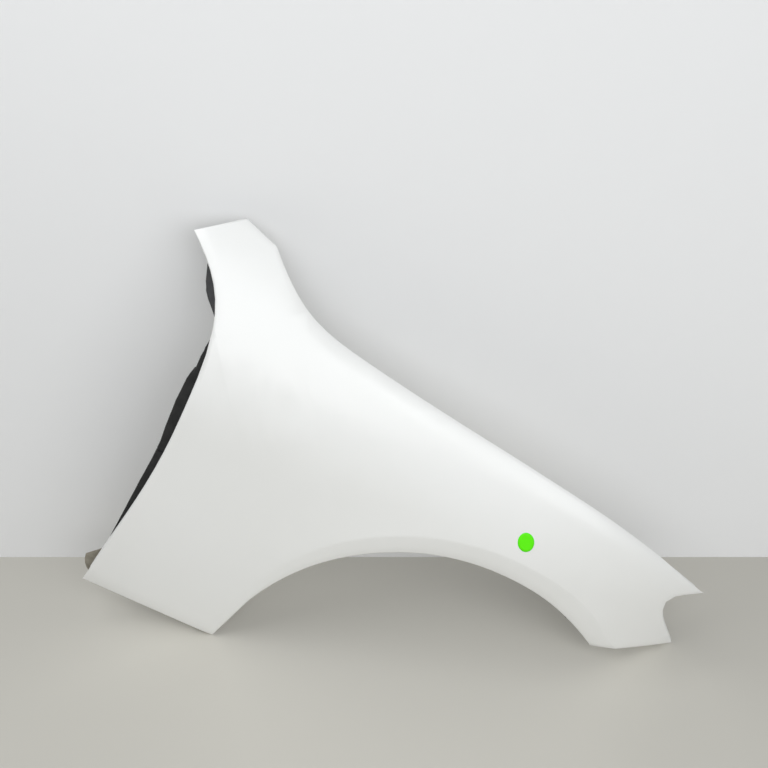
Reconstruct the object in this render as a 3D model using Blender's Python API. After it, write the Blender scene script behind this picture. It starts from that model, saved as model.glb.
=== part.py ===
"""Front right fender of a passenger car: one pressed steel panel with its
folded flanges, the foam baffles along its door edge, its small brackets and
the nuts that stay on it when it is taken off the car.

While it is modelled, +X points to the front of the car, +Y inboard and +Z up,
in millimetres from the wheel centre. The finished meshes are in metres, from
the rail pad that the fender is bolted to the apron by.
"""
import math

import bmesh
import bpy
import numpy as np
from mathutils import Vector

MM = 0.001

# Sheet
SHEET = 0.8
BEND = 4.0
BEND_ROUND = 0.25
CLEARANCE = 0.3
WELD = 0.02 * MM

# Wheel arch and its crease
ARCH_RADIUS = 360.0
ARCH_REAR_ANGLE = 167.4
ARCH_FRONT_ANGLE = 46.6
# How far the edge is drawn off its circle: (degrees round the wheel, millimetres outwards)
ARCH_TRIM = [
    (ARCH_FRONT_ANGLE, 0.0), (54, -3.9), (63, -5.0), (72, -3.4), (80, -2.2), (90, -1.4),
    (110, -1.4), (124, -3.6), (146, -5.0), (156, -4.2), (163, -2.0), (ARCH_REAR_ANGLE, 0.0),
]
CREASE_RISE = 41.3
CREASE_GROWTH = 2.2
CREASE_LEAST_WIDTH = 12.0
CREASE_END_ANGLE = 41.8
CREASE_END_SPREAD = 11.5
CREASE_END_ARC = 7.0
FLARE_FRONT = 6.0
FLARE_REAR = 2.0
FLARE_REACH = 55.0
BAND_UNDERCUT = 0.17
CREASE_SOFT_FRONT = 1.2
CREASE_SOFT_REAR = 8.0
CREASE_FADE_ARC = 50.0

# Outline, from the wheel centre
SILL_DROP = 40.0
DOOR_EDGE = [
    (-638, -SILL_DROP), (-621, 78), (-602, 204), (-590, 333), (-588, 428),
    (-593, 525), (-607, 573), (-636, 613), (-686, 650),
]
NECK_HEIGHT = 545.0
HORN_PEAK = (-618, 692)
HOOD_LINE = [
    (-556, 677), (-510, 643), (-457, 614), (-365, 593), (-170, 568),
    (-1, 547), (106, 529), (268, 481), (393, 428),
]
NECK_FRONT = -472.0
CHIN_MATCH = 262.0
CHIN_CORNER = (300, 268)
NOSE_CORNER = (418, 290)
NOTCH_DEEPEST = (326, 400)
NOTCH_NOSE_PULL = (-40, 40)
NOTCH_LOWER_PULL = 30.0
NOTCH_UPPER_PULL = 17.0
NOTCH_TIP_PULL = (-36, -9)

# Section of the skin
NOSE_PLAN_RADIUS = 850.0
REAR_PLAN_RADIUS = 9000.0
SHOULDER_HEIGHT = 395.0
SHOULDER_RADIUS = 300.0
TUCK_HEIGHT = 200.0
TUCK_RADIUS = 2200.0
HOOD_ROLL_DEPTH = 8.0
HOOD_ROLL_WIDTH = 26.0
HOOD_ROLL_REAR = (-540.0, -420.0)
HOOD_ROLL_FRONT = (250.0, 390.0)

# Flanges
DOOR_FLANGE = 16.0
SILL_FLANGE = 24.0
ARCH_LIP = 18.0
CHIN_FLANGE = 20.0
NOTCH_FLANGE = 12.0
HORN_HEM = 11.0
HORN_TAB = 30.0
HORN_TAB_STATIONS = (2, 4)
HOOD_WALL = 32.0
HOOD_WALL_SLANT = 0.12
HOOD_RAIL = 30.0
HOOD_RAIL_END = 296.0
NOSE_HEM = 8.0
NOSE_HEM_START = 312.0
NOSE_HEM_END = 366.0
END_TAPER = 0.45
END_TAPER_MOST = 0.8
FLANGE_FIRST = 2
FLANGE_LAST = 3
NOTCH_FLANGE_LAST = 5

# Rail pads and holes
PAD_STATIONS = [262.0, 105.0, -85.0, -275.0, -440.0]
ORIGIN_PAD = 2
PAD_HALF = 26.0
PAD_RAMP = 45.0
PAD_SLOT = (8.0, 13.0)
PAD_SLOT_OFFSET = 12.0
RAIL_WINDOW = (11.0, 38.0)
SILL_SLOT = (8.0, 15.0)
SILL_SLOT_SHARES = [0.3, 0.76]
CHIN_HOLE_STATIONS = [330.0, 384.0]
LINER_HOLE_ANGLES = [62.0, 92.0, 122.0, 152.0]
NUT_HOLE = 7.0
TAB_HOLE = 8.0
CUT_DEPTH = 6.0
ROUND_SIDES = 16

# Grid of the skin
LEG_COLUMNS = 15
NECK_COLUMNS = 8
CROWN_COLUMNS = 34
NOSE_COLUMNS = 9
SKIN_ROWS = 13
BAND_ROWS = 2
HORN_ROWS = 7
ROW_CROWDING = 0.5
LEG_STEPS = 6
ARC_STEPS = 149
LEG_MARK = 36
NECK_MARK = 56
SLOPE_STEP = 2.0

# Foam along the door edge
# Each reach is a list of (height, how far the foam stands rearwards of the door edge)
NECK_FOAM_REACH = [(558, 0.6), (572, 6.7), (584, 11.8), (595, 13.3), (606, 10.6), (614, 6.5), (622, 0.6)]
NECK_FOAM_DEPTH = 44.0
NECK_FOAM_WIDTH = 30.0
UPPER_BAFFLE_REACH = [
    (299.5, 13.8), (316, 14.2), (348, 17.5), (403, 19.4), (451, 17.2),
    (465, 14.8), (468, 10.3), (497, 8.7), (514, 5.7), (530, 0.8),
]
LOWER_BAFFLE_REACH = [(76, 0.4), (128, 4.7), (173, 8.5), (219, 11.5), (258, 12.5), (297, 13.4)]
BAFFLE_DEPTH = 50.0
BAFFLE_WIDTH = 16.0
BAFFLE_ROOT = 7.0
FOAM_FRONT_SHARE = 0.85
FOAM_ROUND_SHARE = 0.1
FOAM_SIDE_SHARE = 0.7
FOAM_BACK_SHARE = 0.6

# Brackets
PLATE = 1.5
BRACKET_HOLE = 8.5
BRACKET_HOLE_SHARE = 0.55
PILLAR_BRACKET_WIDTH = 18.0
PILLAR_BRACKET_DEPTH = 56.0
PILLAR_BRACKET_PAD = 26.0
SILL_BRACKET_SPAN = (-612.0, -586.0)
SILL_BRACKET_TOP = 34.0
SILL_BRACKET_SHOULDER = -624.0
SILL_BRACKET_REAR = -649.0
SILL_BRACKET_LOBE = 6.0
SILL_BRACKET_STEPS = 6
SILL_BRACKET_FOOT = 12.0
LAMP_BRACKET_WIDTH = 30.0
LAMP_BRACKET_DROP = 46.0
LAMP_BRACKET_PAD = 26.0

# Nuts and the sill clip
NUT_HEAD = 12.0
NUT_HEAD_THICK = 2.0
NUT_BARB = 9.0
NUT_EDGE = 0.8
NUT_SIDES = 12
NUT_LENGTH = 9.0
NUT_BORE = 4.2
SILL_CLIP_SETBACK = 24.0
SILL_CLIP_WIDTH = 24.0
SILL_CLIP_WALL = 2.4
SILL_CLIP_GRIP = 15.0
SILL_CLIP_LIP = 10.5

PAINT_WHITE = (0.80, 0.81, 0.80, 1.0)
FOAM_GREY = (0.055, 0.058, 0.062, 1.0)
BAFFLE_BLACK = (0.022, 0.024, 0.026, 1.0)
PRIMER_OLIVE = (0.19, 0.175, 0.14, 1.0)
NUT_BLACK = (0.02, 0.02, 0.022, 1.0)


def ease(t):
    """Smooth step from 0 to 1."""
    t = np.clip(t, 0.0, 1.0)
    return t * t * (3.0 - 2.0 * t)


def spline(points, per_span=24):
    """Dense points on the natural cubic spline through the given points."""
    knots = np.array(points, float)
    chord = np.r_[0.0, np.cumsum(np.linalg.norm(np.diff(knots, axis=0), axis=1))]
    step = np.diff(chord)
    count = len(knots)
    matrix = np.eye(count)
    right = np.zeros((count, 2))
    for k in range(1, count - 1):
        matrix[k, k - 1:k + 2] = (step[k - 1], 2 * (step[k - 1] + step[k]), step[k])
        slope_after = (knots[k + 1] - knots[k]) / step[k]
        slope_before = (knots[k] - knots[k - 1]) / step[k - 1]
        right[k] = 6 * (slope_after - slope_before)
    bend = np.linalg.solve(matrix, right)
    dense = []
    for k in range(count - 1):
        for s in np.linspace(0, 1, per_span, endpoint=k == count - 2):
            a = 1 - s
            dense.append(a * knots[k] + s * knots[k + 1]
                         + step[k] ** 2 / 6 * ((a ** 3 - a) * bend[k] + (s ** 3 - s) * bend[k + 1]))
    return np.array(dense)


def bezier(p0, p1, p2, p3, count=24):
    t = np.linspace(0, 1, count)[:, None]
    p0, p1, p2, p3 = (np.array(p, float) for p in (p0, p1, p2, p3))
    return (1 - t) ** 3 * p0 + 3 * (1 - t) ** 2 * t * p1 + 3 * (1 - t) * t ** 2 * p2 + t ** 3 * p3


def lengths(path):
    return np.r_[0.0, np.cumsum(np.linalg.norm(np.diff(path, axis=0), axis=1))]


def along(path, distance):
    """Points on a dense path at the given distances from its start."""
    run = lengths(path)
    return np.stack([np.interp(distance, run, path[:, k]) for k in range(path.shape[1])], axis=-1)


def even(path, count):
    """Points that split a dense path into a number of equal runs."""
    return along(path, np.linspace(0, lengths(path)[-1], count + 1))


def split(path, axis, value):
    """The two parts of a dense path, cut where one coordinate takes a value."""
    run = lengths(path)
    order = np.argsort(path[:, axis])
    cut = np.interp(value, path[order, axis], run[order])
    point = along(path, np.array([cut]))
    return np.vstack([path[run < cut], point]), np.vstack([point, path[run > cut]])


def polar(radius, degrees):
    angle = np.radians(degrees)
    return np.stack([radius * np.cos(angle), radius * np.sin(angle)], axis=-1)


# Outline curves

def leg_path():
    """Straight run of the arch edge, from the sill up to where the arc starts."""
    top = polar(ARCH_RADIUS, ARCH_REAR_ANGLE)
    slope = math.tan(math.radians(ARCH_REAR_ANGLE - 90.0))
    foot = np.array([top[0] - (top[1] + SILL_DROP) / slope, -SILL_DROP])
    return foot, top


def crease_width(degrees):
    """Width of the band between the arch edge and the crease."""
    angle = np.radians(degrees)
    width = CREASE_GROWTH + CREASE_RISE * np.sin(angle)
    spread = CREASE_END_SPREAD * ease((CREASE_END_ANGLE + CREASE_END_ARC - degrees) / CREASE_END_ARC)
    return np.maximum(CREASE_LEAST_WIDTH, width + spread)


def arch_stations():
    """Matching points on the arch edge and on the crease, from the sill forwards."""
    foot, top = leg_path()
    leg = np.linspace(0, 1, LEG_STEPS + 1)[:, None]
    turn = polar(1.0, ARCH_REAR_ANGLE)
    edge_leg = foot + (top - foot) * leg
    crease_leg = edge_leg + turn * CREASE_LEAST_WIDTH
    crease_leg[0, 1] = -SILL_DROP
    edge_angles = np.linspace(ARCH_REAR_ANGLE, ARCH_FRONT_ANGLE, ARC_STEPS + 1)[1:]
    crease_angles = np.linspace(ARCH_REAR_ANGLE, CREASE_END_ANGLE, ARC_STEPS + 1)[1:]
    trim = spline(ARCH_TRIM)
    radius = ARCH_RADIUS + np.interp(edge_angles, trim[:, 0], trim[:, 1])[:, None]
    edge = np.vstack([edge_leg, radius * polar(1.0, edge_angles)])
    crease = np.vstack([crease_leg, polar(ARCH_RADIUS + crease_width(crease_angles), crease_angles)])
    crease[-1] = CHIN_CORNER
    return edge, crease


HOOD_PATH = spline(HOOD_LINE)
DOOR_PATH = spline(DOOR_EDGE)


def notch_path():
    """Headlamp recess, from the nose corner up to the tip of the hood line."""
    deep = np.array(NOTCH_DEEPEST, float)
    tip = np.array(HOOD_LINE[-1], float)
    nose = np.array(NOSE_CORNER, float)
    lower = bezier(nose, nose + NOTCH_NOSE_PULL, deep - (0, NOTCH_LOWER_PULL), deep)
    upper = bezier(deep, deep + (0, NOTCH_UPPER_PULL), tip + NOTCH_TIP_PULL, tip)
    return np.vstack([lower, upper[1:]])


# Skin surface: how far inboard each point of the side view lies

def arch_distance(x, z):
    """Distance outwards from the arch edge, and the angle round the wheel."""
    top = polar(ARCH_RADIUS, ARCH_REAR_ANGLE)
    outward = polar(1.0, ARCH_REAR_ANGLE)
    below = (x - top[0]) * -outward[1] + (z - top[1]) * outward[0]
    leg = (x - top[0]) * outward[0] + (z - top[1]) * outward[1]
    angle = np.degrees(np.arctan2(z, x))
    on_leg = below > 0
    return np.where(on_leg, leg, np.hypot(x, z) - ARCH_RADIUS), np.where(on_leg, ARCH_REAR_ANGLE, angle)


def skin_depth(x, z):
    x = np.asarray(x, float)
    z = np.asarray(z, float)
    plan = x ** 2 / (2 * np.where(x > 0, NOSE_PLAN_RADIUS, REAR_PLAN_RADIUS))
    shoulder = np.maximum(z - SHOULDER_HEIGHT, 0) ** 2 / (2 * SHOULDER_RADIUS)
    tuck = np.maximum(TUCK_HEIGHT - z, 0) ** 2 / (2 * TUCK_RADIUS)

    distance, angle = arch_distance(x, z)
    past_crease = distance - crease_width(angle)
    front = ease((ARCH_REAR_ANGLE - angle) / CREASE_FADE_ARC)
    flare = FLARE_REAR + (FLARE_FRONT - FLARE_REAR) * front
    soft = CREASE_SOFT_REAR + (CREASE_SOFT_FRONT - CREASE_SOFT_REAR) * front
    undercut = BAND_UNDERCUT * soft * np.log1p(np.exp(np.clip(-past_crease / soft, -50, 50)))
    arch = undercut - flare * np.exp(-np.maximum(past_crease, 0) / FLARE_REACH)

    order = np.argsort(HOOD_PATH[:, 0])
    hood = np.interp(x, HOOD_PATH[order, 0], HOOD_PATH[order, 1])
    near_hood = np.clip(1 - (hood - z) / HOOD_ROLL_WIDTH, 0, 1.2)
    rear_fade = ease((x - HOOD_ROLL_REAR[0]) / (HOOD_ROLL_REAR[1] - HOOD_ROLL_REAR[0]))
    front_fade = ease((HOOD_ROLL_FRONT[1] - x) / (HOOD_ROLL_FRONT[1] - HOOD_ROLL_FRONT[0]))
    return plan + shoulder + tuck + arch + HOOD_ROLL_DEPTH * rear_fade * front_fade * near_hood ** 2


def skin(points):
    points = np.asarray(points, float)
    return np.stack([points[..., 0], skin_depth(points[..., 0], points[..., 1]), points[..., 1]], axis=-1)


def unit(vectors):
    return vectors / np.linalg.norm(vectors, axis=-1, keepdims=True)


def inward(points):
    """Unit normals of the skin, pointing to its hidden side."""
    points = np.asarray(points, float)
    x, z = points[..., 0], points[..., 1]
    slope_x = (skin_depth(x + SLOPE_STEP, z) - skin_depth(x - SLOPE_STEP, z)) / (2 * SLOPE_STEP)
    slope_z = (skin_depth(x, z + SLOPE_STEP) - skin_depth(x, z - SLOPE_STEP)) / (2 * SLOPE_STEP)
    return unit(np.stack([-slope_x, np.ones_like(x), -slope_z], axis=-1))


# Grids of the skin in the side view

def coons(bottom, top, left, right):
    """Grid between four edges; bottom and top share a count, and so do left and right."""
    u = (lengths(bottom) / lengths(bottom)[-1] + lengths(top) / lengths(top)[-1]) / 2
    v = (lengths(left) / lengths(left)[-1] + lengths(right) / lengths(right)[-1]) / 2
    u = u[:, None, None]
    v = v[None, :, None]
    rows = (1 - v) * bottom[:, None] + v * top[:, None]
    columns = (1 - u) * left[None] + u * right[None]
    corners = ((1 - u) * (1 - v) * bottom[0] + u * (1 - v) * bottom[-1]
               + (1 - u) * v * top[0] + u * v * top[-1])
    return rows + columns - corners


def add_line(grid, at, towards, axis, distance=BEND):
    """Adds a grid line a fixed distance from line at, on its side towards another."""
    grid = np.moveaxis(grid, axis, 0)
    start, end = grid[at], grid[towards]
    line = start + unit(end - start) * distance
    grid = np.insert(grid, max(at, towards), line, axis=0)
    return np.moveaxis(grid, 0, axis)


def crowded(count):
    """Shares from 0 to 1, closer together near both ends."""
    t = np.linspace(0, 1, count + 1)
    return (1 - ROW_CROWDING) * t + ROW_CROWDING * (0.5 - 0.5 * np.cos(math.pi * t))


def by_share(path, shares):
    return along(path, shares * lengths(path)[-1])


def in_runs(path, counts):
    """Points along the arch, evenly spread within the leg, the neck and the crown."""
    marks = [0, LEG_MARK, NECK_MARK, len(path) - 1]
    runs = [even(path[a:b + 1], n) for a, b, n in zip(marks, marks[1:], counts)]
    return np.vstack([runs[0], runs[1][1:], runs[2][1:]])


def build_grids():
    """Side-view grids of the body of the panel, its arch band and its horn."""
    edge, crease = arch_stations()
    door_low, door_high = split(DOOR_PATH, 1, NECK_HEIGHT)
    hood_high, hood_low = split(HOOD_PATH, 0, NECK_FRONT)
    hood_main, hood_nose = split(hood_low, 0, CHIN_MATCH)
    cut = np.array([door_low[-1], hood_high[-1]])

    counts = (LEG_COLUMNS, NECK_COLUMNS, CROWN_COLUMNS)
    edge_row = in_runs(edge, counts)
    crease_row = in_runs(crease, counts)
    chin = even(np.array([CHIN_CORNER, NOSE_CORNER], float), NOSE_COLUMNS)
    bottom = np.vstack([crease_row, chin[1:]])
    top = np.vstack([even(door_low, LEG_COLUMNS), even(cut, NECK_COLUMNS)[1:],
                     even(hood_main, CROWN_COLUMNS)[1:], even(hood_nose, NOSE_COLUMNS)[1:]])
    shares = crowded(SKIN_ROWS)
    sill = by_share(np.array([bottom[0], top[0]]), shares)
    notch = by_share(notch_path(), shares)
    body = coons(bottom, top, sill, notch)

    rows = np.linspace(0, 1, BAND_ROWS + 1)[None, :, None]
    band = edge_row[:, None] * (1 - rows) + crease_row[:, None] * rows

    peak = np.array(HORN_PEAK, float)
    brow = np.vstack([even(np.array([door_high[-1], peak]), NECK_COLUMNS // 2),
                      even(np.array([peak, hood_high[0]]), NECK_COLUMNS // 2)[1:]])
    horn = coons(even(cut, NECK_COLUMNS), brow,
                 even(door_high, HORN_ROWS), even(hood_high[::-1], HORN_ROWS))

    chin_column = LEG_COLUMNS + NECK_COLUMNS + CROWN_COLUMNS
    neck_front = LEG_COLUMNS + NECK_COLUMNS
    body = add_line(body, body.shape[0] - 1, body.shape[0] - 2, 0)
    body = add_line(body, chin_column, chin_column - 1, 0)
    body = add_line(body, neck_front, neck_front - 1, 0)
    body = add_line(body, LEG_COLUMNS, LEG_COLUMNS + 1, 0)
    body = add_line(body, 0, 1, 0)
    body = add_line(body, body.shape[1] - 1, body.shape[1] - 2, 1)
    body = add_line(body, 0, 1, 1)

    band = add_line(band, band.shape[0] - 1, band.shape[0] - 2, 0)
    band = add_line(band, neck_front, neck_front - 1, 0)
    band = add_line(band, LEG_COLUMNS, LEG_COLUMNS + 1, 0)
    band = add_line(band, 0, 1, 0)
    band = add_line(band, band.shape[1] - 1, band.shape[1] - 2, 1)
    band = add_line(band, 0, 1, 1)

    horn = add_line(horn, horn.shape[0] - 1, horn.shape[0] - 2, 0)
    horn = add_line(horn, 0, 1, 0)
    horn = add_line(horn, horn.shape[1] - 1, horn.shape[1] - 2, 1)
    return body, band, horn


BODY, BAND, HORN = build_grids()
BODY_LEG_END = LEG_COLUMNS + 1
BODY_NECK_END = BODY_LEG_END + NECK_COLUMNS + 2
DOOR_SIDE = np.vstack([BODY[:BODY_LEG_END + 1, -1], HORN[0, 1:]])
HORN_SIDE = HORN[:, -1]
HOOD_SIDE = np.vstack([HORN[-1, ::-1], BODY[BODY_NECK_END + 1:, -1]])
NOTCH_SIDE = BODY[-1]
CHIN_SIDE = np.vstack([BAND[-1], BODY[BAND.shape[0]:, 0]])
ARCH_SIDE = BAND[:, 0]
SILL_SIDE = np.vstack([BAND[0], BODY[0, 1:]])


# Flanges

def outward_in_skin(side, direction):
    """Unit directions in the skin, square to an edge, pointing off the panel."""
    run = unit(np.gradient(skin(side), axis=0))
    across = unit(np.cross(run, inward(side)))
    middle = len(side) // 2
    if np.dot(across[middle], direction) < 0:
        across = -across
    return across


EDGES = {
    "door": (DOOR_SIDE, (-1, 0, 0)),
    "horn": (HORN_SIDE, (0, 0, 1)),
    "hood": (HOOD_SIDE, (0, 0, 1)),
    "notch": (NOTCH_SIDE, (1, 0, 0)),
    "chin": (CHIN_SIDE, (0, 0, -1)),
    "arch": (ARCH_SIDE, (0, 0, -1)),
    "sill": (SILL_SIDE, (0, 0, -1)),
}
WALL_DIRECTION = unit(np.array([0.0, HOOD_WALL_SLANT, -1.0]))
INBOARD = np.array([0.0, 1.0, 0.0])


def flange_directions(name):
    side = EDGES[name][0]
    folds = inward(side)
    if name in ("chin", "arch", "sill", "notch"):
        folds = np.tile(INBOARD, (len(side), 1))
    if name == "hood":
        walled = (side[:, 0] < HOOD_RAIL_END)[:, None]
        folds = np.where(walled, WALL_DIRECTION, folds)
    return folds


def key(point):
    return round(float(point[0]), 3), round(float(point[1]), 3)


def rounded_edge_points():
    """Where each edge point of the skin moves to, to round the bend into its flange."""
    folds, pulls = {}, {}
    for name, (side, direction) in EDGES.items():
        across = outward_in_skin(side, direction)
        for point, fold, pull in zip(side, flange_directions(name), across):
            folds.setdefault(key(point), []).append(fold)
            pulls.setdefault(key(point), []).append(pull)
    return {corner: BEND_ROUND * BEND * (np.mean(folds[corner], axis=0) - np.sum(pulls[corner], axis=0))
            for corner in folds}


EDGE_SHIFT = rounded_edge_points()


def formed(points):
    """Skin points in space, with the edge ones moved on to their bend."""
    space = skin(points)
    flat = space.reshape(-1, 3)
    for k, point in enumerate(np.asarray(points).reshape(-1, 2)):
        flat[k] += EDGE_SHIFT.get(key(point), 0)
    return flat.reshape(space.shape)


def taper(rows):
    """Draws the ends of a flange's free edge in, so that it can be folded."""
    free = rows[-1]
    reach = np.linalg.norm(free - rows[0], axis=1)
    for end, after in ((0, 1), (-1, -2)):
        run = rows[0][after] - rows[0][end]
        most = END_TAPER_MOST * np.linalg.norm(run)
        free[end] += unit(run) * min(reach[end] * END_TAPER, most)
    return rows


def plain_flange(name, width, first, last):
    """Flange folded along its fold directions, from one station to another."""
    side = EDGES[name][0][first:last + 1]
    fold = flange_directions(name)[first:last + 1]
    width = np.broadcast_to(width, (len(side),))[:, None]
    base = skin(side)
    return taper([formed(side), base + fold * BEND, base + fold * width])


def rail_heights(side):
    """Height of the mounting rail, level at each pad."""
    edge = side[:, 1] - HOOD_WALL
    height = edge.copy()
    for station in PAD_STATIONS:
        level = np.interp(station, side[:, 0], side[:, 1]) - HOOD_WALL
        near = np.abs(side[:, 0] - station)
        share = ease((PAD_HALF + PAD_RAMP - near) / PAD_RAMP)
        height = height + (level - height) * share
    return height


def rail_stations():
    inside = np.nonzero(HOOD_SIDE[:, 0] < HOOD_RAIL_END)[0]
    return FLANGE_FIRST, inside[-1]


def rail_flange():
    """Wall down from the hood line and the level rail at its foot."""
    first, last = rail_stations()
    side = HOOD_SIDE[first:last + 1]
    base = skin(side)
    foot = base + WALL_DIRECTION * HOOD_WALL
    foot[:, 2] = rail_heights(side)
    up = -WALL_DIRECTION
    return taper([
        formed(side),
        base + WALL_DIRECTION * BEND,
        foot + up * BEND,
        foot + BEND_ROUND * BEND * (up + INBOARD),
        foot + INBOARD * BEND,
        foot + INBOARD * HOOD_RAIL,
    ])


def horn_flange():
    """Hem of the horn, longer where it makes the upper mounting tab."""
    count = len(HORN_SIDE)
    width = np.full(count, HORN_HEM)
    first, last = HORN_TAB_STATIONS
    width[first:last + 1] = HORN_TAB
    return plain_flange("horn", width[1:count - 1], 1, count - 2)


def nearest_station(side, axis, value):
    return int(np.argmin(np.abs(side[:, axis] - value)))


def flange_grids():
    nose_first = nearest_station(HOOD_SIDE, 0, NOSE_HEM_START)
    nose_last = nearest_station(HOOD_SIDE, 0, NOSE_HEM_END)
    return [
        plain_flange("door", DOOR_FLANGE, FLANGE_FIRST, len(DOOR_SIDE) - FLANGE_LAST),
        horn_flange(),
        rail_flange(),
        plain_flange("hood", NOSE_HEM, nose_first, nose_last),
        plain_flange("notch", NOTCH_FLANGE, FLANGE_FIRST, len(NOTCH_SIDE) - NOTCH_FLANGE_LAST),
        plain_flange("chin", CHIN_FLANGE, FLANGE_FIRST, len(CHIN_SIDE) - FLANGE_LAST),
        plain_flange("arch", ARCH_LIP, FLANGE_FIRST, len(ARCH_SIDE) - FLANGE_LAST),
        plain_flange("sill", SILL_FLANGE, FLANGE_FIRST, len(SILL_SIDE) - FLANGE_LAST),
    ]


# Frame of the finished part

def pad_point(station):
    """Middle of the rail at a pad, on the rail's upper face."""
    first, last = rail_stations()
    side = HOOD_SIDE[first:last + 1]
    height = np.interp(station, side[:, 0], rail_heights(side))
    edge = np.interp(station, side[:, 0], skin(side)[:, 1])
    return np.array([station, edge + WALL_DIRECTION[1] * HOOD_WALL + (BEND + HOOD_RAIL) / 2, height])


ORIGIN = pad_point(PAD_STATIONS[ORIGIN_PAD])


def place(point):
    """Millimetres from the wheel centre to metres from the part's origin."""
    return Vector((np.asarray(point, float) - ORIGIN) * MM)


def paint(name, colour, roughness, metallic=0.0):
    material = bpy.data.materials.new(name)
    material.use_nodes = True
    shader = material.node_tree.nodes["Principled BSDF"]
    shader.inputs["Base Color"].default_value = colour
    shader.inputs["Roughness"].default_value = roughness
    shader.inputs["Metallic"].default_value = metallic
    return material


def finish(name, mesh, material, smooth_angle=None):
    result = bpy.data.meshes.new(name)
    mesh.to_mesh(result)
    mesh.free()
    result.materials.append(material)
    if smooth_angle is not None:
        result.shade_smooth()
        result.set_sharp_from_angle(angle=math.radians(smooth_angle))
    piece = bpy.data.objects.new(name, result)
    bpy.context.scene.collection.objects.link(piece)
    return piece


def add_grid(mesh, grid):
    verts = [[mesh.verts.new(place(point)) for point in row] for row in grid]
    for a, b in zip(verts, verts[1:]):
        for k in range(len(a) - 1):
            mesh.faces.new((a[k], b[k], b[k + 1], a[k + 1]))


def add_loft(mesh, sections):
    """Closed body through sections with one count of points each."""
    rings = [[mesh.verts.new(place(point)) for point in section] for section in sections]
    count = len(rings[0])
    for a, b in zip(rings, rings[1:]):
        for k in range(count):
            mesh.faces.new((a[k], a[(k + 1) % count], b[(k + 1) % count], b[k]))
    mesh.faces.new(rings[0][::-1])
    mesh.faces.new(rings[-1])


def loft(name, sections, material, smooth_angle=None):
    mesh = bmesh.new()
    add_loft(mesh, sections)
    bmesh.ops.recalc_face_normals(mesh, faces=mesh.faces)
    return finish(name, mesh, material, smooth_angle)


def combine(piece, name, bodies, operation):
    """Joins or cuts a piece with lofted bodies that don't touch each other."""
    mesh = bmesh.new()
    for sections in bodies:
        add_loft(mesh, sections)
    bmesh.ops.recalc_face_normals(mesh, faces=mesh.faces)
    tool = finish(name, mesh, piece.data.materials[0])
    tool.hide_render = True
    tool.display_type = "WIRE"
    modifier = piece.modifiers.new(name, "BOOLEAN")
    modifier.operation = operation
    modifier.solver = "EXACT"
    modifier.object = tool


# Holes, as prisms that cross the sheet

def stadium(width, length):
    """Outline of a slot, longest along its first axis."""
    radius = width / 2
    half = (length - width) / 2
    turn = np.linspace(-math.pi / 2, math.pi / 2, ROUND_SIDES // 2 + 1)
    right = np.stack([half + radius * np.cos(turn), radius * np.sin(turn)], axis=-1)
    if half == 0:
        right = right[:-1]
    return np.vstack([right, -right])


def prism(outline, centre, axis_u, axis_v, depth):
    """The two end sections of a prism, half its depth each side of its centre."""
    axis_u = unit(np.asarray(axis_u, float))
    axis_v = unit(np.asarray(axis_v, float))
    normal = np.cross(axis_u, axis_v)
    ring = centre + outline[:, :1] * axis_u + outline[:, 1:] * axis_v
    return ring - normal * depth / 2, ring + normal * depth / 2


def side_point(side, axis, value):
    """Side-view point of an edge where one coordinate takes a value."""
    order = np.argsort(side[:, axis])
    return np.array([np.interp(value, side[order, axis], side[order, k]) for k in range(2)])


def sill_point(station):
    """Point of the sill edge, on the straight run between two grid stations."""
    order = np.argsort(SILL_SIDE[:, 0])
    depth = np.interp(station, SILL_SIDE[order, 0], skin(SILL_SIDE[order])[:, 1])
    return np.array([station, depth, -SILL_DROP])


def liner_seat(degrees):
    """Point on the lip's wheel side for a nut, and the direction to the wheel."""
    edge = nearest_chord(ARCH_SIDE, polar(ARCH_RADIUS, degrees))
    point = skin(edge[0]) + INBOARD * (BEND + ARCH_LIP) / 2
    return point, np.array([edge[1][0], 0, edge[1][1]])


def nearest_chord(side, target):
    """Middle of the edge run that faces a point, and the run's outer normal."""
    middles = (side[1:] + side[:-1]) / 2
    k = int(np.argmin(np.linalg.norm(middles - target, axis=1)))
    run = unit(side[k + 1] - side[k])
    normal = np.array([run[1], -run[0]])
    return middles[k], normal


def chin_seat(station):
    """Point under the chin flange for a nut, and the direction down off it."""
    edge, normal = nearest_chord(CHIN_SIDE, side_point(CHIN_SIDE, 0, station))
    if normal[1] > 0:
        normal = -normal
    return skin(edge) + INBOARD * (BEND + CHIN_FLANGE) / 2, np.array([normal[0], 0, normal[1]])


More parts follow.
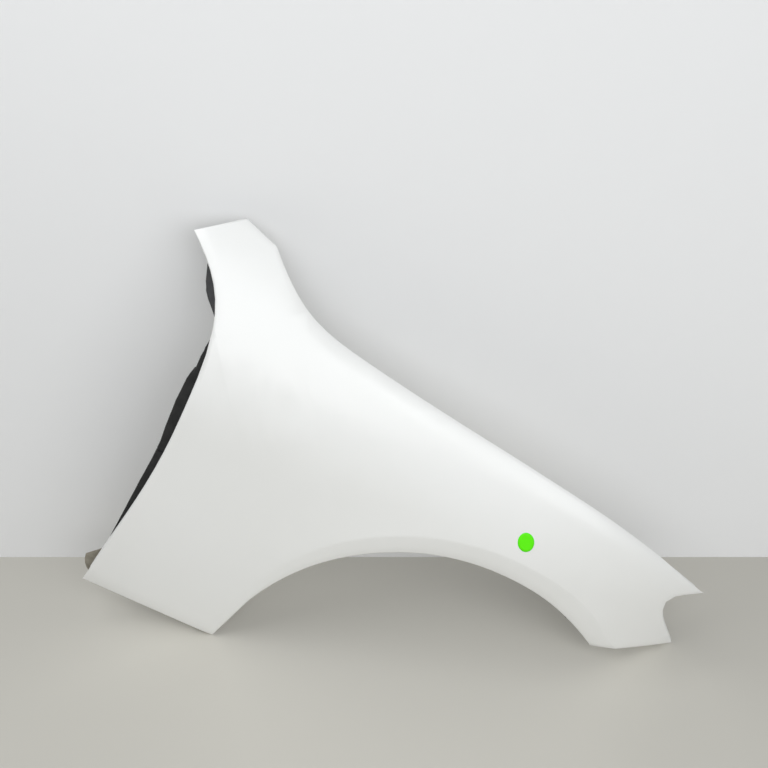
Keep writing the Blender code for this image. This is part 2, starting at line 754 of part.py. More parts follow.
def hole_prisms():
    prisms = []
    for station in PAD_STATIONS:
        centre = pad_point(station) + (PAD_SLOT_OFFSET, 0, 0)
        prisms.append(prism(stadium(*PAD_SLOT), centre, (0, 1, 0), (1, 0, 0), CUT_DEPTH))
    for a, b in zip(PAD_STATIONS, PAD_STATIONS[1:]):
        centre = pad_point((a + b) / 2)
        before = pad_point((a + b) / 2 - PAD_RAMP / 2)
        after = pad_point((a + b) / 2 + PAD_RAMP / 2)
        prisms.append(prism(stadium(*RAIL_WINDOW), centre, after - before, (0, 1, 0), 4 * CUT_DEPTH))
    for share in SILL_SLOT_SHARES:
        station = SILL_SIDE[-1][0] + share * (SILL_SIDE[0][0] - SILL_SIDE[-1][0])
        centre = sill_point(station) + INBOARD * (BEND + SILL_FLANGE) / 2
        prisms.append(prism(stadium(*SILL_SLOT), centre, (1, 0, 0), (0, 1, 0), CUT_DEPTH))
    seats = [chin_seat(station) for station in CHIN_HOLE_STATIONS]
    seats += [liner_seat(degrees) for degrees in LINER_HOLE_ANGLES]
    for point, normal in seats:
        across = np.cross(INBOARD, normal)
        prisms.append(prism(stadium(NUT_HOLE, NUT_HOLE), point, across, INBOARD, CUT_DEPTH))
    first, last = HORN_TAB_STATIONS
    tab = HORN_SIDE[(first + last) // 2]
    fold = inward(tab)
    run = unit(skin(HORN_SIDE[last]) - skin(HORN_SIDE[first]))
    centre = skin(tab) + fold * (HORN_TAB - TAB_HOLE)
    prisms.append(prism(stadium(TAB_HOLE, TAB_HOLE), centre, run, fold, 2 * CUT_DEPTH))
    return prisms


def fender_panel():
    """The pressed steel panel: skin, arch band, horn and flanges in one sheet."""
    mesh = bmesh.new()
    for grid in (BODY, BAND, HORN):
        add_grid(mesh, formed(grid))
    for grid in flange_grids():
        add_grid(mesh, grid)
    bmesh.ops.remove_doubles(mesh, verts=mesh.verts, dist=WELD)
    bmesh.ops.recalc_face_normals(mesh, faces=mesh.faces)
    if sum(face.normal.y * face.calc_area() for face in mesh.faces) > 0:
        bmesh.ops.reverse_faces(mesh, faces=mesh.faces)
    panel = finish("fender_panel", mesh, paint("white_paint", PAINT_WHITE, 0.35), 35)

    solidify = panel.modifiers.new("sheet", "SOLIDIFY")
    solidify.thickness = SHEET * MM
    solidify.offset = -1
    solidify.use_even_offset = True
    solidify.use_quality_normals = True

    combine(panel, "panel_holes", hole_prisms(), "DIFFERENCE")


# Foam baffles, pressed over the door flange

DOOR_SPACE = skin(DOOR_SIDE)
DOOR_REARWARD = outward_in_skin(DOOR_SIDE, (-1, 0, 0))
DOOR_INWARD = inward(DOOR_SIDE)


def door_station(height):
    return np.interp(height, DOOR_SIDE[:, 1], np.arange(len(DOOR_SIDE)))


def door_frame(station, rearward, depth):
    """Point beside the door edge, a distance rearwards and a depth inboard."""
    low = min(int(station), len(DOOR_SIDE) - 2)
    share = station - low
    pair = [DOOR_SPACE[k] + DOOR_REARWARD[k] * rearward + DOOR_INWARD[k] * depth for k in (low, low + 1)]
    return (1 - share) * pair[0] + share * pair[1]


def baffle(name, reach, width, depth, material):
    """Foam block behind the door flange, hooked over the flange's free edge."""
    heights, proud_at = np.array(reach, float).T
    marks = [door_station(height) for height in heights]
    stations = sorted({*marks, *range(math.ceil(marks[0]), math.floor(marks[-1]) + 1)})
    hook = SHEET + CLEARANCE
    tip = DOOR_FLANGE + CLEARANCE
    sections = []
    for station in stations:
        height = np.interp(station, np.arange(len(DOOR_SIDE)), DOOR_SIDE[:, 1])
        proud = float(np.interp(height, heights, proud_at))
        outline = [(-hook, BAFFLE_ROOT), (-hook, tip), (proud * FOAM_FRONT_SHARE, tip),
                   (proud, tip + depth * FOAM_ROUND_SHARE), (proud, tip + depth * FOAM_SIDE_SHARE),
                   (proud * FOAM_BACK_SHARE - width * FOAM_ROUND_SHARE, tip + depth),
                   (-width, tip + depth), (-width, BAFFLE_ROOT)]
        sections.append([door_frame(station, *point) for point in outline])
    return loft(name, sections, material, 40)


def foam_pieces():
    grey = paint("grey_foam", FOAM_GREY, 0.95)
    black = paint("black_foam", BAFFLE_BLACK, 0.92)
    baffle("neck_foam", NECK_FOAM_REACH, NECK_FOAM_WIDTH, NECK_FOAM_DEPTH, grey)
    baffle("pillar_baffle_upper", UPPER_BAFFLE_REACH, BAFFLE_WIDTH, BAFFLE_DEPTH, black)
    baffle("pillar_baffle_lower", LOWER_BAFFLE_REACH, BAFFLE_WIDTH, BAFFLE_DEPTH, black)


# Brackets of 1.5 mm steel

def bent_strip(path, thickness):
    """Closed section of a strip that follows a path of square corners."""
    path = np.array(path, float)
    run = unit(np.diff(path, axis=0))
    side = np.stack([-run[:, 1], run[:, 0]], axis=-1) * thickness
    inner = [path[0] + side[0]]
    for k in range(1, len(path) - 1):
        inner.append(path[k] + side[k - 1] + side[k])
    inner.append(path[-1] + side[-1])
    return np.vstack([path, inner[::-1]])


def pillar_bracket():
    """Bolt tab for the hinge pillar, welded to the door flange midway between the foams."""
    station = door_station((UPPER_BAFFLE_REACH[-1][0] + NECK_FOAM_REACH[0][0]) / 2)
    centre = door_frame(station, 0, 0)
    rear = unit(door_frame(station, 1, 0) - centre)
    depth = unit(door_frame(station, 0, 1) - centre)
    height = np.cross(rear, depth)
    weld = -(SHEET + 2 * CLEARANCE)
    path = [(weld, BAFFLE_ROOT), (weld, PILLAR_BRACKET_DEPTH),
            (weld - PILLAR_BRACKET_PAD, PILLAR_BRACKET_DEPTH)]
    outline = bent_strip(path, PLATE)
    sections = [[centre + rear * b + depth * n + height * half for b, n in outline]
                for half in (-PILLAR_BRACKET_WIDTH / 2, PILLAR_BRACKET_WIDTH / 2)]
    piece = loft("pillar_bracket", sections, paint("pillar_primer", PRIMER_OLIVE, 0.55, 0.2))
    reach = weld - PILLAR_BRACKET_PAD * BRACKET_HOLE_SHARE
    hole = centre + rear * reach + depth * PILLAR_BRACKET_DEPTH
    bolt = prism(stadium(BRACKET_HOLE, BRACKET_HOLE), hole, rear, height, 4 * PLATE)
    combine(piece, "pillar_bolt", [bolt], "DIFFERENCE")


def sill_bracket():
    """Lower rear bracket: a foot on the sill flange, and an upright with a lobe past the door edge."""
    first, last = SILL_BRACKET_SPAN
    bottom = -SILL_DROP + SHEET + CLEARANCE
    face = skin(SILL_SIDE[-1])[1] + DOOR_FLANGE + CLEARANCE
    turn = np.linspace(-math.pi / 2, 0, SILL_BRACKET_STEPS + 1)
    reach = first - SILL_BRACKET_REAR
    drop = SILL_BRACKET_LOBE - bottom
    outline = [(first - reach * math.cos(a), SILL_BRACKET_LOBE + drop * math.sin(a)) for a in turn]
    outline += [(SILL_BRACKET_SHOULDER, SILL_BRACKET_TOP), (last, SILL_BRACKET_TOP), (last, bottom)]
    piece = loft("sill_bracket", [[(x, y, z) for x, z in outline] for y in (face, face + PLATE)],
                 paint("sill_primer", PRIMER_OLIVE, 0.5, 0.2))
    outer = face - SILL_BRACKET_FOOT
    inner = face + PLATE / 2
    foot = [(outer, bottom), (inner, bottom), (inner, bottom + PLATE), (outer, bottom + PLATE)]
    combine(piece, "sill_foot", [[[(x, y, z) for y, z in foot] for x in (first, last)]], "UNION")
    centre = np.array([first, face, 0.0])
    bolt = prism(stadium(BRACKET_HOLE, BRACKET_HOLE), centre, (1, 0, 0), (0, 0, 1), 6 * PLATE)
    combine(piece, "sill_bolt", [bolt], "DIFFERENCE")


def lamp_bracket():
    """Headlamp bracket: foot under the front rail pad, drop and lower pad."""
    pad = pad_point(PAD_STATIONS[0])
    under = pad[2] - SHEET - CLEARANCE
    outer = pad[1] - HOOD_RAIL / 4
    inner = pad[1] + HOOD_RAIL / 2
    low = under - LAMP_BRACKET_DROP
    path = [(outer, under - PLATE), (inner, under - PLATE), (inner, low), (inner + LAMP_BRACKET_PAD, low)]
    outline = bent_strip(path, PLATE)
    half = LAMP_BRACKET_WIDTH / 2
    sections = [[(pad[0] + x, y, z) for y, z in outline] for x in (-half, half)]
    piece = loft("headlamp_bracket", sections, paint("lamp_primer", PRIMER_OLIVE, 0.55, 0.2))
    hole = np.array([pad[0], inner + LAMP_BRACKET_PAD * BRACKET_HOLE_SHARE, low])
    bolt = pad + (PAD_SLOT_OFFSET, 0, -2 * SHEET)
    combine(piece, "lamp_bolts", [
        prism(stadium(BRACKET_HOLE, BRACKET_HOLE), hole, (1, 0, 0), (0, 1, 0), 4 * PLATE),
        prism(stadium(*PAD_SLOT), bolt, (0, 1, 0), (1, 0, 0), 4 * PLATE),
    ], "DIFFERENCE")


# Nuts and clip

def nut(name, seat, axis, material):
    """Push-in plastic nut: round head on the open side, neck and barbed body behind."""
    axis = unit(np.asarray(axis, float))
    side = unit(np.cross(axis, INBOARD))
    other = np.cross(axis, side)
    neck = NUT_HOLE / 2 - CLEARANCE
    behind = -(SHEET + CLEARANCE)
    top = CLEARANCE + NUT_HEAD_THICK
    profile = [
        (NUT_BORE / 2, top), (NUT_HEAD / 2 - NUT_EDGE, top), (NUT_HEAD / 2, top - NUT_EDGE),
        (NUT_HEAD / 2, CLEARANCE), (neck, CLEARANCE), (neck, behind), (NUT_BARB / 2, behind - NUT_EDGE),
        (neck - NUT_EDGE, behind - NUT_LENGTH), (NUT_BORE / 2, behind - NUT_LENGTH),
    ]
    mesh = bmesh.new()
    rings = []
    for angle in np.linspace(0, 2 * math.pi, NUT_SIDES, endpoint=False):
        spoke = side * math.cos(angle) + other * math.sin(angle)
        rings.append([mesh.verts.new(place(seat + spoke * r + axis * h)) for r, h in profile])
    for a, b in zip(rings, rings[1:] + rings[:1]):
        for j in range(len(profile)):
            after = (j + 1) % len(profile)
            mesh.faces.new((a[j], a[after], b[after], b[j]))
    bmesh.ops.recalc_face_normals(mesh, faces=mesh.faces)
    finish(name, mesh, material, 40)


def nuts():
    black = paint("black_nylon", NUT_BLACK, 0.45)
    for k, degrees in enumerate(LINER_HOLE_ANGLES, 1):
        nut(f"liner_nut_{k}", *liner_seat(degrees), black)
    for k, station in enumerate(CHIN_HOLE_STATIONS, 1):
        nut(f"bumper_nut_{k}", *chin_seat(station), black)


def sill_clip():
    """Plastic clip pushed over the free edge of the sill flange."""
    half = SILL_CLIP_WIDTH / 2
    station = SILL_SIDE[0][0] - SILL_CLIP_SETBACK
    under = [x for x in SILL_SIDE[:, 0] if abs(x - station) < half]
    ends = [station - half, station + half]
    tip = max(sill_point(x)[1] for x in under + ends) + SILL_FLANGE
    low = -SILL_DROP - CLEARANCE
    high = -SILL_DROP + SHEET + CLEARANCE
    wall = SILL_CLIP_WALL
    back = tip + CLEARANCE
    section = [(back - SILL_CLIP_GRIP, low - wall), (back + wall, low - wall), (back + wall, high + wall),
               (back - SILL_CLIP_LIP, high + wall), (back - SILL_CLIP_LIP, high), (back, high),
               (back, low), (back - SILL_CLIP_GRIP, low)]
    sections = [[(x, y, z) for y, z in section] for x in ends]
    loft("sill_clip", sections, paint("clip_nylon", NUT_BLACK, 0.5))


def main():
    for old in list(bpy.data.objects):
        bpy.data.objects.remove(old, do_unlink=True)
    fender_panel()
    foam_pieces()
    pillar_bracket()
    sill_bracket()
    lamp_bracket()
    nuts()
    sill_clip()


main()
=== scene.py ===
import math

import bpy
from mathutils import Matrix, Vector


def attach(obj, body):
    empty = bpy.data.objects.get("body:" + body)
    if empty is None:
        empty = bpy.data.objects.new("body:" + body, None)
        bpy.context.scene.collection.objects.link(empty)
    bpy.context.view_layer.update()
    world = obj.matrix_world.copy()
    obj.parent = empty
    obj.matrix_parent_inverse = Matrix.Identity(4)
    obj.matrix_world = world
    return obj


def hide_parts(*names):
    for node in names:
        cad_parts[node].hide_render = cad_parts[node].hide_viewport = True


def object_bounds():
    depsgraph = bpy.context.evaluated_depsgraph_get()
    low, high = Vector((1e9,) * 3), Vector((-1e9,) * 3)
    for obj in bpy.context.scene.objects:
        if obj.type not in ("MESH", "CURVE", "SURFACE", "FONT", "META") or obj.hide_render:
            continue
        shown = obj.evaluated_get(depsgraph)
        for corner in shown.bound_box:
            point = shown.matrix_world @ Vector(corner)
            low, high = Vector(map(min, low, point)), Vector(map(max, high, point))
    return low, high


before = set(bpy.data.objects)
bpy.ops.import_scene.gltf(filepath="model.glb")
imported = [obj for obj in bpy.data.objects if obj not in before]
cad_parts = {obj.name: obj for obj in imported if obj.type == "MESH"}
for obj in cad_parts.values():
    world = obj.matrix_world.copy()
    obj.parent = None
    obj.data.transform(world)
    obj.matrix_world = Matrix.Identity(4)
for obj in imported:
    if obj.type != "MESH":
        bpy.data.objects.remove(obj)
bpy.ops.object.select_all(action="DESELECT")
cad_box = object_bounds()


# Fender panel
# One sheet of 0.8 mm deep-drawn steel, pressed, trimmed and folded. It is dipped in primer, and its
# outside is sprayed with white base coat and clear lacquer. Screws hold it by its rail and flanges.
SOFT_SHADING = math.radians(36)
WELD = 0.00001
FLAT_PAIR = math.radians(8)
SQUARE_PAIR = math.radians(60)
HIDDEN_SIDE = 0.35


def linear(hex_code):
    """sRGB hex colour as linear RGBA."""
    parts = [int(hex_code[k:k + 2], 16) / 255 for k in (1, 3, 5)]
    return [p / 12.92 if p <= 0.04045 else ((p + 0.055) / 1.055) ** 2.4 for p in parts] + [1.0]


def add_node(material, kind, settings=None, inputs=None):
    """Adds a node, sets its properties, and sets or links its inputs."""
    made = material.node_tree.nodes.new(kind)
    for name, value in (settings or {}).items():
        setattr(made, name, value)
    for name, value in (inputs or {}).items():
        if isinstance(value, bpy.types.NodeSocket):
            material.node_tree.links.new(value, made.inputs[name])
        else:
            made.inputs[name].default_value = value
    return made


def new_material(name):
    """An empty node material."""
    material = bpy.data.materials.new(name)
    material.use_nodes = True
    material.node_tree.nodes.clear()
    return material


def set_shader(material, inputs):
    """Gives the material its Principled shader and output."""
    shader = add_node(material, "ShaderNodeBsdfPrincipled", inputs=inputs)
    add_node(material, "ShaderNodeOutputMaterial", inputs={"Surface": shader.outputs[0]})


def merged_copy(node, name):
    """Copy of a CAD node's mesh as its own object, with its loose triangles joined up."""
    piece = bpy.data.objects.new(name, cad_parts[node].data.copy())
    piece.data.materials.clear()
    bpy.context.scene.collection.objects.link(piece)
    bpy.ops.object.select_all(action="DESELECT")
    piece.select_set(True)
    bpy.context.view_layer.objects.active = piece
    bpy.ops.object.mode_set(mode="EDIT")
    bpy.ops.mesh.select_all(action="SELECT")
    bpy.ops.mesh.remove_doubles(threshold=WELD)
    bpy.ops.mesh.tris_convert_to_quads(face_threshold=FLAT_PAIR, shape_threshold=SQUARE_PAIR)
    bpy.ops.mesh.select_all(action="DESELECT")
    bpy.ops.object.mode_set(mode="OBJECT")
    return piece


# White two-layer car paint: a white base coat under a clear lacquer, which gives a soft wide gloss.
# Sprayed paint has an orange peel of about 3 mm, drawn at 5 mm so that it shows. Its tone and gloss
# drift a little over a hand's width or two.
PEEL = 0.005
CLOUD = 0.25
white_paint = new_material("white_base_coat_and_lacquer")
place = add_node(white_paint, "ShaderNodeTexCoord")
cloud = add_node(white_paint, "ShaderNodeTexNoise", inputs={
    "Vector": place.outputs["Object"], "Scale": 1 / CLOUD, "Detail": 3.0, "Roughness": 0.5})
tone = add_node(white_paint, "ShaderNodeMix", {"data_type": "RGBA"}, {
    "Factor": cloud.outputs["Fac"], "A": linear("#F1F1EE"), "B": linear("#F6F6F4")})
gloss = add_node(white_paint, "ShaderNodeMapRange", inputs={
    "Value": cloud.outputs["Fac"], "To Min": 0.30, "To Max": 0.38})
peel = add_node(white_paint, "ShaderNodeTexNoise", inputs={
    "Vector": place.outputs["Object"], "Scale": 1 / PEEL, "Detail": 1.0, "Roughness": 0.4})
skin_bump = add_node(white_paint, "ShaderNodeBump", inputs={
    "Strength": 0.12, "Distance": 0.00015, "Height": peel.outputs["Fac"]})
set_shader(white_paint, {
    "Base Color": tone.outputs["Result"], "Roughness": gloss.outputs["Result"], "IOR": 1.5,
    "Coat Weight": 0.6, "Coat Roughness": 0.22, "Coat IOR": 1.5,
    "Normal": skin_bump.outputs["Normal"]})

# Hidden side: pale grey dip primer under a thin dry mist of white overspray, so that it looks flat
# and dusty. The mist lies in drifts of 40 mm. Its dust is finer than 0.2 mm, drawn at 1.1 mm.
OVERSPRAY = 0.04
DUST = 0.0011
primer = new_material("grey_dip_primer_with_overspray")
place = add_node(primer, "ShaderNodeTexCoord")
drift = add_node(primer, "ShaderNodeTexNoise", inputs={
    "Vector": place.outputs["Object"], "Scale": 1 / OVERSPRAY, "Detail": 6.0, "Roughness": 0.6})
cover = add_node(primer, "ShaderNodeMapRange", inputs={
    "Value": drift.outputs["Fac"], "From Min": 0.3, "From Max": 0.7})
mist = add_node(primer, "ShaderNodeMix", {"data_type": "RGBA"}, {
    "Factor": cover.outputs["Result"], "A": linear("#D3D4D1"), "B": linear("#E2E2DE")})
grit = add_node(primer, "ShaderNodeTexNoise", inputs={
    "Vector": place.outputs["Object"], "Scale": 1 / DUST, "Detail": 2.0})
dry = add_node(primer, "ShaderNodeBump", inputs={
    "Strength": 0.3, "Distance": 0.0002, "Height": grit.outputs["Fac"]})
set_shader(primer, {
    "Base Color": mist.outputs["Result"], "Roughness": 0.62, "Normal": dry.outputs["Normal"]})

panel = merged_copy("fender_panel", "painted_panel")
panel.data.materials.append(white_paint)
panel.data.materials.append(primer)
for face in panel.data.polygons:
    face.material_index = 1 if face.normal.y > HIDDEN_SIDE else 0
bpy.ops.object.shade_smooth_by_angle(angle=SOFT_SHADING)
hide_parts("fender_panel")
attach(panel, "root")


# Green sticker
# A plain oval of vinyl film, stuck on the skin above the front of the arch. Its disc is laid on the
# skin point by point, so that it follows the curve, and then gets the film's thickness.
STICKER_AT = Vector((0.0980, 0.0, -0.0843))
STICKER_SIZE = (0.0275, 0.0360)
STICKER_TURN = math.radians(-35.2)
STICKER_SIDES = 40
STICKER_RINGS = 2
STICKER_RING_WIDTH = 0.004
FILM = 0.00012

# Bright green PVC film, calendered smooth: an even satin colour, with a faint grain drawn at 2.5 mm.
FILM_GRAIN = 0.0025
green_film = new_material("green_pvc_film")
place = add_node(green_film, "ShaderNodeTexCoord")
grain = add_node(green_film, "ShaderNodeTexNoise", inputs={
    "Vector": place.outputs["Object"], "Scale": 1 / FILM_GRAIN, "Detail": 2.0})
film_tone = add_node(green_film, "ShaderNodeMix", {"data_type": "RGBA"}, {
    "Factor": grain.outputs["Fac"], "A": linear("#5FF800"), "B": linear("#66FF02")})
film_bump = add_node(green_film, "ShaderNodeBump", inputs={
    "Strength": 0.1, "Distance": 0.0001, "Height": grain.outputs["Fac"]})
set_shader(green_film, {
    "Base Color": film_tone.outputs["Result"], "Roughness": 0.5, "Specular IOR Level": 0.25,
    "Normal": film_bump.outputs["Normal"]})

bpy.ops.mesh.primitive_circle_add(
    vertices=STICKER_SIDES, radius=0.5, fill_type="NGON", location=STICKER_AT,
    rotation=(math.radians(90), STICKER_TURN, 0))
sticker = bpy.context.object
sticker.name = "green_sticker"
sticker.scale = (STICKER_SIZE[0], STICKER_SIZE[1], 1)
bpy.ops.object.transform_apply(location=True, rotation=True, scale=True)
bpy.ops.object.mode_set(mode="EDIT")
bpy.ops.mesh.select_all(action="SELECT")
for ring in range(STICKER_RINGS):
    bpy.ops.mesh.inset(thickness=STICKER_RING_WIDTH)
bpy.ops.object.mode_set(mode="OBJECT")
for vertex in sticker.data.vertices:
    start = Vector((vertex.co.x, 2 * cad_box[0][1], vertex.co.z))
    spot, normal = panel.ray_cast(start, Vector((0, 1, 0)))[1:3]
    vertex.co = spot + normal * FILM / 2
bpy.ops.object.shade_smooth()
solid = sticker.modifiers.new("film", "SOLIDIFY")
solid.thickness = FILM
solid.offset = 1
bpy.ops.object.modifier_apply(modifier="film")
sticker.data.materials.append(green_film)
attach(sticker, "root")


# Foam baffles
# Three blocks cut from sheet foam, stuck behind the door edge to shut out water and noise: a grey
# open-cell one at the neck, and two black closed-cell strips below it that butt end to end.
FOAM_EDGE = 0.0008
EDGE_STEPS = 3
SHARP_EDGE = math.radians(40)
SLIVER = 0.00005
MOTTLE = 0.017


def foam(name, dark, light, cell):
    """Cut foam: torn cell walls give a matt, pitted face, mottled in patches of 17 mm."""
    material = new_material(name)
    place = add_node(material, "ShaderNodeTexCoord")
    cells = add_node(material, "ShaderNodeTexVoronoi", inputs={
        "Vector": place.outputs["Object"], "Scale": 1 / cell, "Randomness": 1.0})
    mottle = add_node(material, "ShaderNodeTexNoise", inputs={
        "Vector": place.outputs["Object"], "Scale": 1 / MOTTLE, "Detail": 4.0})
    tone = add_node(material, "ShaderNodeMix", {"data_type": "RGBA"}, {
        "Factor": mottle.outputs["Fac"], "A": linear(dark), "B": linear(light)})
    pits = add_node(material, "ShaderNodeBump", inputs={
        "Strength": 0.5, "Distance": 0.0006, "Height": cells.outputs["Distance"]})
    set_shader(material, {
        "Base Color": tone.outputs["Result"], "Roughness": 0.95, "Specular IOR Level": 0.2,
        "Normal": pits.outputs["Normal"]})
    return material


# Polyurethane ester foam with cells of 1 mm, drawn at 1.6 mm, and neoprene sponge with cells of
# 0.5 mm, drawn at 1.2 mm.
grey_foam = foam("grey_open_cell_foam", "#343434", "#525253", 0.0016)
black_foam = foam("black_closed_cell_foam", "#1F1F1F", "#3C3C3B", 0.0012)
for node, material, slot in (
        ("neck_foam", grey_foam, "grey_foam"),
        ("pillar_baffle_upper", black_foam, "black_foam"),
        ("pillar_baffle_lower", black_foam, "black_foam")):
    block = merged_copy(node, node + "_block")
    round_off = block.modifiers.new("round", "BEVEL")
    round_off.width = FOAM_EDGE
    round_off.segments = EDGE_STEPS
    round_off.limit_method = "ANGLE"
    round_off.angle_limit = SHARP_EDGE
    bpy.ops.object.modifier_apply(modifier="round")
    bpy.ops.object.mode_set(mode="EDIT")
    bpy.ops.mesh.select_all(action="SELECT")
    bpy.ops.mesh.remove_doubles(threshold=SLIVER)
    bpy.ops.mesh.select_all(action="DESELECT")
    bpy.ops.object.mode_set(mode="OBJECT")
    bpy.ops.object.shade_smooth_by_angle(angle=SOFT_SHADING)
    block.data.materials.append(material)
    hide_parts(node)
    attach(block, "root")


# Brackets
# Three small brackets of 1.5 mm steel strip, cut and bent, dip-primed, and spot-welded to the door
# flange, the sill flange and the rail.

# Cathodic dip primer on steel: dull olive grey with a faint sheen, uneven in patches of 11 mm.
UNEVEN = 0.011
dip_primer = new_material("olive_grey_dip_primer")
place = add_node(dip_primer, "ShaderNodeTexCoord")
runs = add_node(dip_primer, "ShaderNodeTexNoise", inputs={
    "Vector": place.outputs["Object"], "Scale": 1 / UNEVEN, "Detail": 5.0})
primer_tone = add_node(dip_primer, "ShaderNodeMix", {"data_type": "RGBA"}, {
    "Factor": runs.outputs["Fac"], "A": linear("#726C5F"), "B": linear("#B1AB9D")})
primer_bump = add_node(dip_primer, "ShaderNodeBump", inputs={
    "Strength": 0.25, "Distance": 0.0002, "Height": runs.outputs["Fac"]})
set_shader(dip_primer, {
    "Base Color": primer_tone.outputs["Result"], "Roughness": 0.5, "Metallic": 0.15,
    "Normal": primer_bump.outputs["Normal"]})
for node in ("pillar_bracket", "sill_bracket", "headlamp_bracket"):
    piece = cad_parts[node]
    piece.data.materials.clear()
    piece.data.materials.append(dip_primer)


# Nuts and clip
# Push-in screw nuts and one edge clip, injection-moulded in black nylon. The nuts are pressed into
# holes in the arch lip and the chin flange, and the clip over the sill flange.

# Black nylon with a moulded grain of 0.1 mm, drawn at 0.7 mm: dull black with soft highlights.
MOULD_GRAIN = 0.0007
black_nylon = new_material("moulded_black_nylon")
place = add_node(black_nylon, "ShaderNodeTexCoord")
mould = add_node(black_nylon, "ShaderNodeTexNoise", inputs={
    "Vector": place.outputs["Object"], "Scale": 1 / MOULD_GRAIN, "Detail": 2.0})
nylon_tone = add_node(black_nylon, "ShaderNodeMix", {"data_type": "RGBA"}, {
    "Factor": mould.outputs["Fac"], "A": linear("#1B1B1D"), "B": linear("#2A2A2C")})
nylon_bump = add_node(black_nylon, "ShaderNodeBump", inputs={
    "Strength": 0.2, "Distance": 0.0001, "Height": mould.outputs["Fac"]})
set_shader(black_nylon, {
    "Base Color": nylon_tone.outputs["Result"], "Roughness": 0.45,
    "Normal": nylon_bump.outputs["Normal"]})
for node in ("liner_nut_1", "liner_nut_2", "liner_nut_3", "liner_nut_4",
             "bumper_nut_1", "bumper_nut_2", "sill_clip"):
    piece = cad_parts[node]
    piece.data.materials.clear()
    piece.data.materials.append(black_nylon)


# Floor and wall
# A pale floor under the fender's two lowest corners, and a pale wall that its horn leans towards.
# Both show on their front side only and fade out round the fender, so that every view stays open.
# Light and shadow pass through the wall, so that the hidden side is lit too.
FLOOR_NORMAL = Vector((-0.37805, -0.04905, 0.92448))
FLOOR_OFFSET = -0.4100
WALL_NORMAL = Vector((0.1305, -0.99144, 0.00298))
WALL_OFFSET = -0.19702
STAGE_SIZE = 6.0
FADE_FROM = 1.6
FADE_TO = 2.8


def stage_paint(name, hex_code, lets_light_by):
    """Plain matt emulsion on a plane that is seen from its front only. It may let light by."""
    material = new_material(name)
    place = add_node(material, "ShaderNodeTexCoord")
    reach = add_node(material, "ShaderNodeVectorMath", {"operation": "LENGTH"}, {
        0: place.outputs["Object"]})
    fade = add_node(material, "ShaderNodeMapRange", {"interpolation_type": "SMOOTHSTEP"}, {
        "Value": reach.outputs["Value"], "From Min": FADE_FROM, "From Max": FADE_TO})
    side = add_node(material, "ShaderNodeNewGeometry")
    ray = add_node(material, "ShaderNodeLightPath")
    soft = add_node(material, "ShaderNodeMath", {"operation": "MAXIMUM"}, {
        0: ray.outputs["Is Diffuse Ray"], 1: ray.outputs["Is Shadow Ray"]})
    passed = add_node(material, "ShaderNodeMath", {"operation": "MULTIPLY"}, {
        0: soft.outputs[0], 1: lets_light_by})
    away = add_node(material, "ShaderNodeMath", {"operation": "MAXIMUM"}, {
        0: fade.outputs["Result"], 1: side.outputs["Backfacing"]})
    open_to = add_node(material, "ShaderNodeMath", {"operation": "MAXIMUM"}, {
        0: passed.outputs[0], 1: away.outputs[0]})
    matt = add_node(material, "ShaderNodeBsdfDiffuse", inputs={"Color": linear(hex_code)})
    clear = add_node(material, "ShaderNodeBsdfTransparent")
    mix = add_node(material, "ShaderNodeMixShader", inputs={
        0: open_to.outputs[0], 1: matt.outputs[0], 2: clear.outputs[0]})
    add_node(material, "ShaderNodeOutputMaterial", inputs={"Surface": mix.outputs[0]})
    return material


for name, normal, offset, hex_code, lets_light_by in (
        ("floor", FLOOR_NORMAL, FLOOR_OFFSET, "#D2CFC6", 0.0),
        ("wall", WALL_NORMAL, WALL_OFFSET, "#F5F5F5", 1.0)):
    bpy.ops.mesh.primitive_plane_add(size=STAGE_SIZE, location=normal * offset,
                                     rotation=normal.to_track_quat("Z", "Y").to_euler())
    ground = bpy.context.object
    ground.name = name
    ground.data.materials.append(stage_paint("matt_" + name, hex_code, lets_light_by))


# Studio
# Soft light from large square lamps: the main one stands high on the left, as in the photograph,
# two weaker ones fill in from the right and the front, and one behind lights the hidden side.
LAMP_SIZE = 2.0
LAMPS_AIM = Vector((0, 0, -0.22))


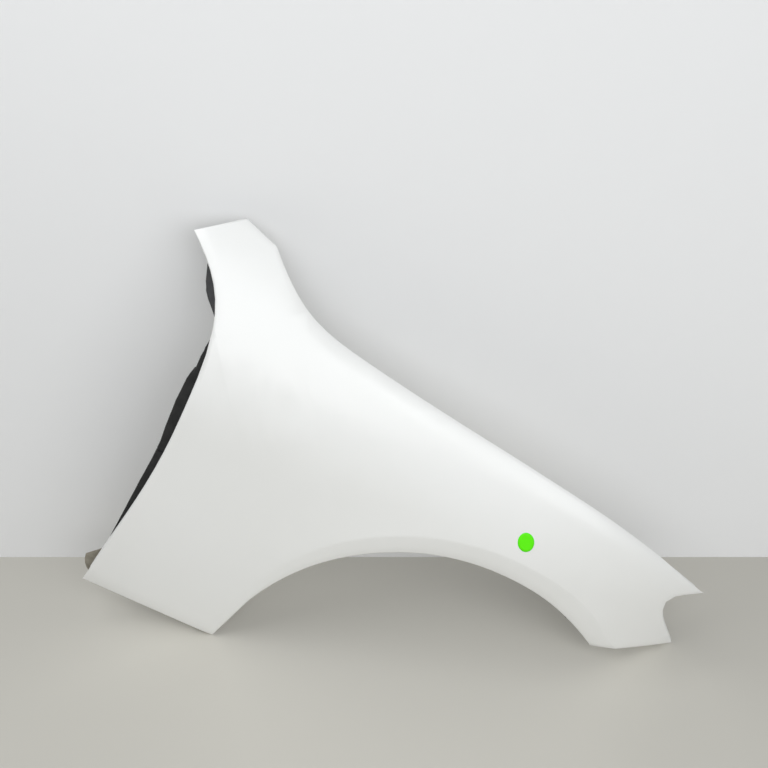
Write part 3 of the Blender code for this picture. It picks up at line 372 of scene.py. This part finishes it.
def lamp(name, spot, power, hex_code):
    """Square softbox aimed at the fender's middle."""
    light = bpy.data.lights.new(name, "AREA")
    light.size = LAMP_SIZE
    light.energy = power
    light.color = linear(hex_code)[:3]
    holder = bpy.data.objects.new(name, light)
    holder.location = spot
    holder.rotation_euler = (Vector(spot) - LAMPS_AIM).to_track_quat("Z", "Y").to_euler()
    holder.visible_camera = False
    bpy.context.scene.collection.objects.link(holder)


lamp("key", (-2.16, -0.75, 1.47), 30, "#FBFDFF")
lamp("fill_right", (1.15, -1.88, 1.51), 22, "#FBFDFF")
lamp("fill_front", (-0.53, -2.29, 1.31), 25, "#FBFDFF")
lamp("behind", (-0.21, 2.59, -0.22), 30, "#FFFFFF")


# The room: a dim even light, which camera and reflections see as a pale backdrop.
room = bpy.data.worlds.new("room")
bpy.context.scene.world = room
room.use_nodes = True
room.node_tree.nodes.clear()
ray = add_node(room, "ShaderNodeLightPath")
looks = add_node(room, "ShaderNodeMath", {"operation": "ADD"}, {
    0: ray.outputs["Is Camera Ray"], 1: ray.outputs["Is Glossy Ray"]})
seen = add_node(room, "ShaderNodeMath", {"operation": "ADD"}, {
    0: looks.outputs[0], 1: ray.outputs["Is Transmission Ray"]})
dim = add_node(room, "ShaderNodeBackground", inputs={"Color": linear("#F4F6F8"), "Strength": 0.2})
backdrop = add_node(room, "ShaderNodeBackground", inputs={
    "Color": linear("#E2E4E5"), "Strength": 1.0})
both = add_node(room, "ShaderNodeMixShader", inputs={
    0: seen.outputs[0], 1: dim.outputs[0], 2: backdrop.outputs[0]})
add_node(room, "ShaderNodeOutputWorld", inputs={"Surface": both.outputs[0]})

# Camera at the photograph's place, for a square frame of 768 pixels. The focal length is in pixels.
FRAME = 768
FOCAL = 970
SENSOR = 36
EYE = (-0.47128754, -1.345148, 0.79846746)
EYE_TURN = (57.75383, -24.91486, 4.63062)
view = bpy.data.cameras.new("photo_view")
view.sensor_fit = "HORIZONTAL"
view.sensor_width = SENSOR
view.lens = SENSOR * FOCAL / FRAME
camera = bpy.data.objects.new("photo_view", view)
camera.location = EYE
camera.rotation_euler = [math.radians(turn) for turn in EYE_TURN]
bpy.context.scene.collection.objects.link(camera)
bpy.context.scene.camera = camera
bpy.context.scene.view_settings.view_transform = "Standard"
